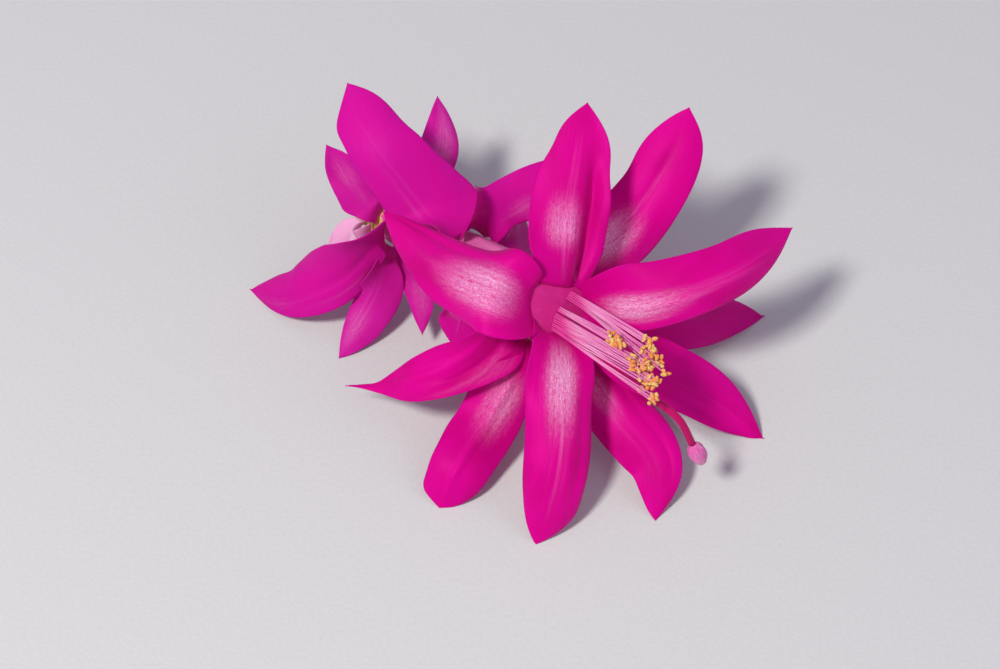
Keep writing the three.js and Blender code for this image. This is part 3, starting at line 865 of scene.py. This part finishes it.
class Corolla:
    """All the petals."""

    SLOTS = {Finish.PETAL: "petal", Finish.BASAL: "petal_basal", Finish.PALE: "petal_pale"}
    # A tip that lies on the floor ends a little under it, and its sheet is lifted flat
    LOW = -0.35

    def __init__(self, dresser: Dresser) -> None:
        """Keep the dresser and list the petals."""
        self.dresser = dresser
        self.petals = [*self._mouth(), *self._middle(), *self._basal()]
        for number, petal in enumerate(self.petals, 1):
            petal.number = number

    @staticmethod
    def _mouth() -> list[Petal]:
        """Return the ten long petals that turn out of the mouth."""
        low = Corolla.LOW
        return [
            Petal("inner_left", Root.inner(162, 1.6, 7.2), towards_view(-0.1, 0.1, 0.25),
                  [vec(-2, -9.9, 29.5), vec(-10.5, -3.1, 27.3), vec(-21, 11.4, 24.1)],
                  6.9, 2.3, 0.33, 1.25, -40, curls=(0, -25),
                  trims=(Trim(-1, 0.7, -0.7), Trim(-1, 0.2, 1.7), Trim(1, 0.15, 0.9)),
                  folds=(Fold(0.5, 0.5, 0.14, 0.1, 1), Fold(-0.25, -0.4, 0.3, 0.2, 0.8)),
                  sheen=Sheen(0.36, 0.16, -0.1, 0.5, 0.85, 0.3)),
            Petal("inner_top", Root.inner(87.5, 1, 3.9), towards_view(0.1, -0.1, 0),
                  [vec(9.3, 3.4, 31.7), vec(12.2, 18.5, 42)], 6.5, 2.1, 0.36, 2.4, -15, curls=(0, 25),
                  trims=(Trim(-1, 0.78, -1.0, 0.1), Trim(1, 0.7, -0.7, 0.1), Trim(-1, 0.13, 2.2, 0.09),
                         Trim(1, 0.14, 1.6, 0.09)), unroll=0.15,
                  folds=(Fold(0.55, 1.7, 0.18, 0.1, 0.8), Fold(0.05, -0.2, 0.12, 0.2, 0.9)),
                  sheen=Sheen(0.42, 0.12, -0.15, 0.42, 0.65, 0.6)),
            Petal("inner_right", Root.inner(19, 0.5, 5), towards_view(-0.1, -0.1, 0.2),
                  [vec(22, -8.8, 26.2), vec(33.5, -5.4, 28.6), vec(45.5, 6, 26)],
                  5.4, 2, 0.36, 2, -20, curls=(0, -20),
                  trims=(Trim(-1, 0.65, -0.8), Trim(-1, 0.24, 0.7, 0.09), Trim(1, 0.17, 1.3, 0.09)),
                  folds=(Fold(0.35, -0.5, 0.2, 0.2, 0.9),), sheen=Sheen(0.3, 0.14, 0.3, 0.4, 0.85, 0.5)),
            Petal("inner_lower_right", Root.inner(-42, 0.5, 5), towards_view(0, 0, 0),
                  [vec(23, -12.5, 13), vec(33.5, -13.5, 6), vec(41.5, -17, low)],
                  5.1, 2.2, 0.38, 1.6, -10, trims=(Trim(1, 0.82, 0.9),),
                  folds=(Fold(0.1, 0.3, 0.3),), sheen=Sheen(0.2, 0.12, strength=0.3, streak=0.35)),
            Petal("inner_bottom", Root.inner(-108, 2, 4.4), towards_view(0.1, 0, 0.1),
                  [vec(7.8, -22.3, 16.5), vec(7.2, -31.6, 11), vec(3.9, -38, low)],
                  5.8, 2.3, 0.35, 3, -35, curls=(-15, 0),
                  trims=(Trim(-1, 0.87, 0.9, 0.08), Trim(1, 0.85, -0.4, 0.1), Trim(-1, 0.17, 1.0, 0.09),
                         Trim(1, 0.14, 2.8, 0.09)),
                  folds=(Fold(-0.6, 0.4, 0.15, 0.3, 0.9),),
                  sheen=Sheen(0.33, 0.16, 0.0, 0.42, 0.95, 0.8)),
            Petal("outer_upper_right", Root.outer(52, -3.5, 7.6), towards_view(-0.1, 0, 0),
                  [vec(19.6, 9.6, 24), vec(26.6, 17.6, 32.4), vec(28.9, 21.5, 38)],
                  5.8, 2.9, 0.4, 2.7, -25,
                  trims=(Trim(1, 0.33, 0.9), Trim(1, 0.16, 1.8, 0.1), Trim(-1, 0.62, -0.4, 0.08)),
                  # Its pale patch is strong and low, a painted highlight over its base where the top
                  # petal's shadow falls.
                  folds=(Fold(0.0, 0.4, 0.25),), sheen=Sheen(0.27, 0.14, 0, 0.5, 0.95, 0.5)),
            Petal("outer_right", Root.outer(-10, -2.5, 7.5), towards_view(0, 0, 0.3),
                  [vec(24.5, -0.5, 11), vec(43.5, 9.5, low)], 5.2, 2.6, 0.4, 1.3, -15,
                  trims=(Trim(-1, 0.85, 0.9, 0.1),), sheen=Sheen(strength=0.1, streak=0.2)),
            Petal("outer_lower", Root.outer(-65, -2.5, 7.5), towards_view(0, 0, 0),
                  [vec(17.7, -18, 7.4), vec(23.3, -26.7, 5.5), vec(23, -33.5, low)],
                  5.6, 2.7, 0.42, 1.6, -25, curls=(-15, 0),
                  trims=(Trim(1, 0.88, 0.4, 0.12), Trim(1, 0.5, -0.3)),
                  folds=(Fold(-0.5, 0.3, 0.15),), sheen=Sheen(0.33, 0.13, 0.1, 0.35, 0.5, 0.2)),
            Petal("outer_lower_left", Root.outer(-118, -3, 7.5), towards_view(0, 0, 0),
                  [vec(-3.3, -19, 7.5), vec(-8.5, -27.3, 5), vec(-11.5, -31, low)],
                  5.1, 2.4, 0.5, 3.4, -25,
                  trims=(Trim(1, 0.3, 1.7), Trim(1, 0.6, 0.5, 0.1), Trim(1, 0.95, 1.2, 0.06)),
                  folds=(Fold(0.05, -0.35, 0.12, 0.2, 1),),
                  sheen=Sheen(0.36, 0.17, -0.05, 0.55, 0.65, 0.5)),
            Petal("outer_left", Root.outer(-178, -3, 7.7), towards_view(0, 0, 0.45),
                  [vec(-7.3, -13.4, 16.25), vec(-15, -14.8, 12.4), vec(-21, -12.8, 8.6),
                   vec(-27, -11.5, 7)],
                  4.3, 2.4, 0.48, 0.95, 25, 1.6, unroll=0.3, curls=(10, 0),
                  trims=(Trim(-1, 0.2, 4.2, 0.16), Trim(1, 0.85, -0.5, 0.06)),
                  folds=(Fold(-0.4, 0.5, 0.14, 0.05, 0.6), Fold(0.1, -0.4, 0.2, 0.2, 1)),
                  sheen=Sheen(0.3, 0.15, -0.7, 0.3, 0.3, 0.3)),
        ]

    @staticmethod
    def _middle() -> list[Petal]:
        """Return the four petals part of the way along the tube."""
        return [
            Petal("middle_large", Root.wall(0.43, 106, 75, 1.3), towards_view(-0.1, 0.1, 0.1),
                  [vec(-11.9, 12.5, 22.9), vec(-20.5, 19.5, 31.4), vec(-27, 29.4, 35.8)],
                  6.9, 3, 0.26, 2.4, -30, turn=0.3, unroll=0.3,
                  trims=(Trim(1, 0.68, -1.7, 0.18), Trim(1, 0.45, -0.6, 0.1), Trim(1, 0.15, 1.8, 0.08),
                         Trim(-1, 0.25, 1.8, 0.09), Trim(-1, 0.1, 1.5, 0.07), Trim(-1, 0.84, 1.0, 0.08)),
                  sheen=Sheen(0.62, 0.16, -0.2, 0.42, 0.16, 0.4), violet=0.7),
            Petal("middle_upper", Root.wall(0.415, 47, 50, 2), towards_view(0.2, 0, 0.1),
                  [vec(0.5, 16, 21.4), vec(14, 21.8, 26)], 4.6, 3.4, 0.22, 1.7, -10, turn=0.25, unroll=0.2,
                  trims=(Trim(-1, 0.08, 4.0, 0.09), Trim(1, 0.09, 1.9, 0.08), Trim(1, 0.28, -1.2)),
                  sheen=Sheen(0.4, 0.2, 0.4, 0.5, 0.3, 0.2), violet=0.6),
            Petal("middle_low", Root.wall(0.45, 240, 45, 3), towards_view(0, 0, 0),
                  [vec(-8.6, 1.5, 7), vec(-9.6, -0.4, 4)], 3.6, 1.8, 0.5, 1.5, -10, violet=0.5),
            Petal("middle_far", Root.wall(0.46, -20, 60, 3), unit(vec(0.45, -0.6, 0.66)),
                  [vec(0.9, 14, 11.6), vec(4.3, 20.5, 6)], 7.6, 3, 0.4, 1.5, -10, violet=1.0,
                  sheen=Sheen(strength=0, streak=0)),
        ]

    @staticmethod
    def _basal() -> list[Petal]:
        """Return the six short petals round the tube's foot."""
        low = Corolla.LOW
        return [
            Petal("basal_top", Root.wall(0.06, 60, 70, 3), towards_view(0.3, 0, -0.2),
                  [vec(-12, 30.5, 20), vec(-12.5, 38.5, 24)], 3.9, 1.7, 0.35, 1.4, -10,
                  finish=Finish.BASAL, trims=(Trim(1, 0.38, 1.5),),
                  sheen=Sheen(0.6, 0.3, 0.2, 0.6, 0.5, 0.6)),
            Petal("basal_upper_left", Root.wall(0.05, 138, 95, 2.2), towards_view(0.3, 0, 0),
                  [vec(-26.4, 20.8, 20), vec(-31.2, 28.4, 22.4)], 3.9, 1.9, 0.32, 1.4, -10,
                  unroll=0.25, trims=(Trim(1, 0.22, 1.6, 0.1), Trim(-1, 0.5, -0.6, 0.2)),
                  finish=Finish.BASAL, sheen=Sheen(0.6, 0.25, 0, 0.6, 0.35, 0.5)),
            Petal("basal_left", Root.wall(0.1, 168, 70, 3), towards_view(-0.1, -0.1, 0.3),
                  [vec(-27.5, 9, 13), vec(-36.5, 10, 6), vec(-45, 15.5, low)],
                  5.4, 2.2, 0.33, 1.5, -20, unroll=0.3,
                  trims=(Trim(1, 0.13, 2.6, 0.09), Trim(1, 0.7, -0.6, 0.08), Trim(-1, 0.14, 1.4, 0.1)),
                  folds=(Fold(-0.2, 0.3, 0.2),),
                  sheen=Sheen(0.75, 0.2, -0.5, 0.3, 0.22, 0.4), violet=0.6),
            Petal("basal_lower_left", Root.wall(0.1, 222, 70, 3), towards_view(0, 0, 0),
                  [vec(-22, 8, 7), vec(-29, 0, low)], 3.9, 1.75, 0.4, 1.3, -15, finish=Finish.BASAL,
                  trims=(Trim(-1, 0.55, -0.4), Trim(1, 0.2, 1.2), Trim(-1, 0.15, 0.8)),
                  sheen=Sheen(0.7, 0.25, 0.3, 0.6, 0.4, 0.6)),
            Petal("basal_bottom", Root.wall(0.08, 272, 70, 3), towards_view(0, 0, 0),
                  [vec(-15.2, 8.4, 6.8), vec(-14.8, 1.5, 4.4)], 2.6, 1.4, 0.4, 1.3, -15,
                  finish=Finish.BASAL, trims=(Trim(-1, 0.45, 0.8), Trim(1, 0.15, 0.8), Trim(-1, 0.15, 0.8)),
                  sheen=Sheen(0.6, 0.3, 0, 0.7, 0.4, 0.3)),
            Petal("basal_pale", Root.wall(0.02, 195, 85, 2.5), towards_view(0, 0, 0),
                  [vec(-27.4, 18.2, 11.4), vec(-31.4, 18.6, 7.4)], 2.9, 2.4, 0.4, 1.1, -15,
                  unroll=0.25, finish=Finish.PALE),
        ]

    def build(self) -> None:
        """Build and dress each petal."""
        for petal in self.petals:
            self.dresser.seat(petal.build(), petal.finish, f"petal_{petal.name}", self.SLOTS[petal.finish])


@dataclass
class FloralTube:
    """The hollow funnel that carries the petals, ribbed where their bases run down it."""

    dresser: Dresser
    rings: int = 64
    sides: int = 60
    ribs: int = 10
    rib_height: float = 0.12

    def build(self) -> None:
        """Build the tube with its outer and inner wall, and dress it."""
        out = np.linspace(0, 1, self.rings)
        back = np.linspace(1, 0.05, self.rings // 2)
        stations = np.concatenate([out, back])
        inner = np.arange(len(stations)) >= self.rings
        angles = round_angles(self.sides)
        plain = np.array([TUBE.radius(t) for t in stations]) - inner * TUBE.WALL
        ribs = np.cos(self.ribs * angles) * self.rib_height
        radii = plain[:, None] + ribs * np.where(inner, 0.5, 1.0)[:, None]
        centres = np.array([TUBE.at(t) for t in stations])
        skin = Skin()
        skin.rod(centres, radii, self.sides, inner=self.rings)
        self.dresser.seat(skin.piece("fine_tube"), Finish.TUBE, "tube", "tube")


@dataclass
class Ovary:
    """The small barrel behind the tube's foot, with low ridges."""

    dresser: Dresser
    length: float = 8.0
    girth: float = 3.3
    gap: float = 0.1
    rings: int = 28
    sides: int = 48
    ridges: int = 5
    ridge_height: float = 0.16
    bluntness: float = 2.6

    def build(self) -> None:
        """Build and dress the ovary."""
        shares = np.sin(np.linspace(0, 1, self.rings) * math.pi / 2)
        shares[-1] = 0.999
        centres = FOOT - TUBE_WAY * (self.gap + self.length * shares)[:, None]
        plain = self.girth * np.sqrt(1 - shares ** self.bluntness)
        angles = round_angles(self.sides)
        radii = plain[:, None] * (1 + np.cos(self.ridges * angles) * self.ridge_height / self.girth)
        skin = Skin()
        skin.rod(centres, radii, self.sides)
        self.dresser.seat(skin.piece("fine_ovary"), Finish.OVARY, "ovary", "ovary")


@dataclass
class Collar:
    """The smooth skin inside the mouth, a low dome that the stamens come out of."""

    dresser: Dresser
    depth: float = 5.2
    height: float = 1.2
    tilt: float = 0.12
    tilt_to: float = 207.0
    base: float = 3.7
    shoulder: float = 6.8
    flare_from: float = 0.45
    rings: int = 40
    sides: int = 72
    dimples: int = 5
    dimple: float = 0.06

    def build(self) -> None:
        """Build and dress the collar."""
        shares = np.linspace(0, 1, self.rings)
        turn = shares * math.pi / 2
        wall = np.linspace(-self.depth, 0, self.rings)
        dome = self.height * np.sin(turn)
        flare = ease((shares - self.flare_from) / (1 - self.flare_from))
        wall_radius = mix(self.base, self.shoulder, flare)
        dome_radius = self.shoulder * np.maximum(np.cos(turn), 0.01)
        plain = np.concatenate([wall_radius, dome_radius[1:]])
        ahead = np.concatenate([wall, dome[1:]])
        angles = round_angles(self.sides)
        radii = plain[:, None] * (1 + self.dimple * np.cos(self.dimples * angles))
        skin = Skin()
        way = unit(FACING - spoke(FACING, self.tilt_to) * self.tilt)
        skin.rod(MOUTH + FACING * ahead[:, None], radii, self.sides, ways=way)
        self.dresser.seat(skin.piece("fine_collar"), Finish.COLLAR, "stamens", "stamen")


@dataclass(frozen=True)
class Band:
    """A band of stamens, one behind the other as the viewer sees them.

    It has how many lie side by side, where they leave the mouth, and where they end.
    """

    count: int
    rise: tuple[float, float]
    off: tuple[float, float]
    first: np.ndarray
    last: np.ndarray
    ragged: float


@dataclass
class Stamens:
    """The threads in their bands, the ring of tissue they grow from, and their anthers.

    Attributes:
        radius: A thread's radius at its root, before it tapers.
        depths: How many threads stand one behind another.
        layer: How far apart those stand.
        leave: How far ahead of the mouth a thread is when it passes it.
        disc_station: Where on the tube the ring of tissue is.
        disc_length: How long that ring is.
        disc_share: How close together the threads stand on it.
        throat_station: Where on the tube the threads are led through the throat.
        throat_share: How close together they stand there.
        scatter: How unevenly the threads end, ahead and to the side.
        scatter_depth: How unevenly they end, away from the viewer and towards them.
        sac_radius: A pollen sac's radius.
        sac_half: Half of a pollen sac's length.
        sac_steps: How many rings a sac has, and how many points each of them has.
        bands: The bands, from the top one down.
    """

    dresser: Dresser
    radius: float = 0.13
    depths: int = 4
    layer: float = 0.32
    leave: float = 0.9
    disc_station: float = 0.6
    disc_length: float = 1.6
    disc_share: float = 0.75
    throat_station: float = 0.8
    throat_share: float = 0.9
    scatter: tuple[float, float] = (1.3, 0.8)
    scatter_depth: tuple[float, float] = (-1.5, 1.0)
    sac_radius: float = 0.31
    sac_half: float = 0.5
    sac_steps: int = 9
    rings: int = 30
    sides: int = 8
    route_seed: int = 12
    thread_seed: int = 5
    bands: list[Band] = field(default_factory=lambda: [
        Band(5, (3.2, 2.0), (-0.5, -0.1), vec(20.8, -18.9, 27), vec(23.2, -23.6, 26.5), 1.4),
        Band(3, (0.2, -0.4), (0.5, 0.7), vec(15.2, -18, 27), vec(16.5, -19.2, 27), 0.8),
        Band(3, (-1.0, -1.6), (0.8, 0.9), vec(18.6, -21.8, 27), vec(19.8, -23.8, 26.6), 1.2),
        Band(6, (-2.0, -3.5), (0.8, 0.4), vec(21, -23.2, 27), vec(21.2, -28, 25.3), 1.6),
    ])

    def _routes(self) -> list[list[np.ndarray]]:
        """Return the points that each thread passes through."""
        draw = random.Random(self.route_seed)
        ahead, beside = self.scatter
        disc = TUBE.way(self.disc_station) * self.disc_length / 2
        routes = []
        for band in self.bands:
            for k in range(band.count * self.depths):
                place = (k // self.depths) / (band.count - 1)
                rise = mix(*band.rise, place)
                off = mix(*band.off, place)
                out = MOUTH + FACING * self.leave + MOUTH_SIDE * rise + MOUTH_ACROSS * off
                out = out - VIEW * self.layer * (k % self.depths)
                end = mix(band.first, band.last, place) + FACING * band.ragged * draw.uniform(-ahead, ahead)
                end = end + VIEW * draw.uniform(*self.scatter_depth)
                end = end + MOUTH_SIDE * band.ragged * draw.uniform(-beside, beside)
                bow = MOUTH_ACROSS * draw.uniform(-0.2, 0.2) + MOUTH_SIDE * draw.uniform(-0.15, 0.15)
                base = TUBE.inside(self.disc_station, rise, off, self.disc_share) - disc
                throat = TUBE.inside(self.throat_station, rise, off, self.throat_share)
                routes.append([base, throat, out, mix(out, end, 0.55) + bow, end])
        return routes

    def _anther(self, skin: Skin, end: np.ndarray, way: np.ndarray, draw: random.Random,
                number: int) -> None:
        """Add one anther: two small pollen sacs that part a little, across the thread's end.

        Args:
            skin: The skin that the sacs are added to.
            end: The thread's end.
            way: The thread's direction there.
            draw: The source of the sacs' unevenness.
            number: The anther's own number, which shifts its pattern.
        """
        lean = unit(way * 0.25 + vec(draw.uniform(-1, 1), draw.uniform(-1, 1), draw.uniform(-1, 1)))
        apart = unit(np.cross(lean, way + vec(0.1, 0.2, 0.3)))
        shares = np.linspace(-1, 1, self.sac_steps)
        shares[0], shares[-1] = -0.985, 0.985
        for half in (-1, 1):
            length = self.sac_half * draw.uniform(0.7, 1.25)
            middle = end + apart * half * self.sac_radius * draw.uniform(0.8, 1.7)
            splay = apart * half * (0.22 * shares ** 2)[:, None]
            centres = middle + lean * (shares * length)[:, None] + splay
            radii = self.sac_radius * np.sqrt(1 - shares ** 2) * draw.uniform(0.8, 1.15)
            skin.rod(centres, radii, self.sac_steps, number=3.0 * number + half)

    def build(self) -> None:
        """Build the threads and the anthers, and dress them."""
        draw = random.Random(self.thread_seed)
        threads, anthers = Skin(), Skin()
        way = TUBE.way(self.disc_station)
        middle = TUBE.at(self.disc_station)
        radius = TUBE.radius(self.disc_station) - TUBE.WALL - 0.2
        depth = np.linspace(-self.disc_length, 0, 6)
        threads.rod(middle + way * depth[:, None], np.full(6, radius), 32)
        shares = np.linspace(0, 1, self.rings)
        for number, route in enumerate(self._routes()):
            course = Course(route, 24)
            points = course.at(shares)
            radii = self.radius * (1.15 - 0.4 * shares) * draw.uniform(0.88, 1.12)
            threads.rod(points, radii, self.sides, number=5.0 * number)
            self._anther(anthers, points[-1], unit(points[-1] - points[-3]), draw, number)
        self.dresser.seat(threads.piece("stamen_threads"), Finish.THREAD, "stamens", "stamen")
        self.dresser.seat(anthers.piece("stamen_anthers"), Finish.ANTHER, "stamens", "stamen")


@dataclass
class Pistil:
    """The style, which droops past the stamens, and the lobed stigma on its end."""

    dresser: Dresser
    radius: float = 0.7
    rings: int = 90
    sides: int = 20
    stigma_length: float = 4.5
    stigma_radius: float = 1.5
    stigma_rings: int = 36
    stigma_sides: int = 60
    lobes: int = 6
    lobe_height: float = 0.13
    gap: float = 0.1

    def _route(self) -> list[np.ndarray]:
        """Return the points that the style passes through."""
        return [
            TUBE.inside(0.6, -0.2, -1.7, 1) + TUBE.way(0.6) * 0.35,
            TUBE.inside(0.82, -1.2, -1.7, 1),
            MOUTH - MOUTH_SIDE * 2 - MOUTH_ACROSS * 1.7,
            vec(13.5, -16.5, 20.3),
            vec(20.5, -24.8, 22),
            vec(25.8, -28, 19.4),
            vec(28.2, -29, 14.4),
        ]

    def build(self) -> None:
        """Build the style and the stigma, and dress them."""
        route = self._route()
        shares = np.linspace(0, 1, self.rings)
        style = Skin()
        style.rod(Course(route).at(shares), self.radius * (1.05 - 0.2 * shares), self.sides)
        self.dresser.seat(style.piece("fine_style"), Finish.STYLE, "style", "style")
        way = unit(route[-1] - route[-2])
        along = np.linspace(0.02, 0.985, self.stigma_rings)
        plain = self.stigma_radius * np.sqrt(1 - (2 * along - 1) ** 2) * (1.08 - 0.25 * along)
        angles = round_angles(self.stigma_sides)
        ridge = np.abs(np.sin(self.lobes / 2 * (angles[None, :] + 0.9 * along[:, None])))
        radii = plain[:, None] * (0.9 + self.lobe_height * ridge ** 0.8)
        centres = route[-1] + way * (self.gap + self.stigma_length * along)[:, None]
        stigma = Skin()
        stigma.rod(centres, radii, self.stigma_sides)
        self.dresser.seat(stigma.piece("fine_stigma"), Finish.STIGMA, "stigma", "stigma")


@dataclass(frozen=True)
class Softbox:
    """One soft light: the way to it, how far off it stands, its size, its power and its tint."""

    name: str
    way: Triple
    distance: float
    size: float
    power: float
    tint: Colour


@dataclass
class Studio:
    """The floor, the lights and the camera. Its sizes and places are in metres."""

    dresser: Dresser
    lens: float = 85.0
    sensor: float = 36.0
    distance: float = 0.3896
    elevation: float = 50.0
    target: Triple = (-0.00207, -0.00268, 0.0093)
    floor_size: float = 3.0
    room_tint: Colour = (0.84, 0.78, 1.0)
    room_strength: float = 0.42
    lights: tuple[Softbox, ...] = (
        Softbox("key", (-0.375, -0.451, 0.809), 1.0, 0.16, 8.8, (1.0, 1.0, 0.93)),
        Softbox("fill", (0.7, -0.35, 0.6), 1.2, 0.9, 1.6, (0.93, 0.96, 1.0)),
    )

    def _camera(self) -> None:
        """Place the camera at the photograph's viewing angle."""
        data = bpy.data.cameras.new("camera")
        data.lens = self.lens
        data.sensor_width = self.sensor
        data.clip_start = 0.01
        camera = show(bpy.data.objects.new("camera", data))
        angle = math.radians(self.elevation)
        back = Vector((0, -math.cos(angle), math.sin(angle)))
        camera.location = Vector(self.target) + back * self.distance
        camera.rotation_euler = back.to_track_quat("Z", "Y").to_euler()
        bpy.context.scene.camera = camera

    def _light(self, box: Softbox) -> None:
        """Place one soft light, turned towards the flower."""
        data = bpy.data.lights.new(box.name, "AREA")
        data.size = box.size
        data.energy = box.power
        data.color = box.tint
        light = show(bpy.data.objects.new(box.name, data))
        way = Vector(box.way).normalized()
        light.location = Vector(self.target) + way * box.distance
        light.rotation_euler = way.to_track_quat("Z", "Y").to_euler()

    def _floor(self) -> None:
        """Lay the pale floor under the flower."""
        half = self.floor_size / 2
        mesh = bpy.data.meshes.new("floor")
        corners = [(-half, -half, 0), (half, -half, 0), (half, half, 0), (-half, half, 0)]
        mesh.from_pydata(corners, [], [(0, 1, 2, 3)])
        floor = show(bpy.data.objects.new("floor", mesh))
        self.dresser.coat(floor, Finish.FLOOR)

    def build(self) -> None:
        """Set up the camera, the lights, the floor and the surrounding light."""
        self._camera()
        self._floor()
        for box in self.lights:
            self._light(box)
        scene = bpy.context.scene
        scene.view_settings.view_transform = "Standard"
        world = bpy.data.worlds.new("room")
        world.use_nodes = True
        surround = world.node_tree.nodes["Background"]
        surround.inputs["Color"].default_value = (*self.room_tint, 1.0)
        surround.inputs["Strength"].default_value = self.room_strength
        scene.world = world


def main() -> None:
    """Build the studio and the flower."""
    logging.basicConfig(level=logging.INFO, format="%(message)s")
    dresser = Dresser()
    Studio(dresser).build()
    for part in (Corolla, FloralTube, Ovary, Collar, Stamens, Pistil):
        part(dresser).build()


if __name__ == "__main__":
    main()
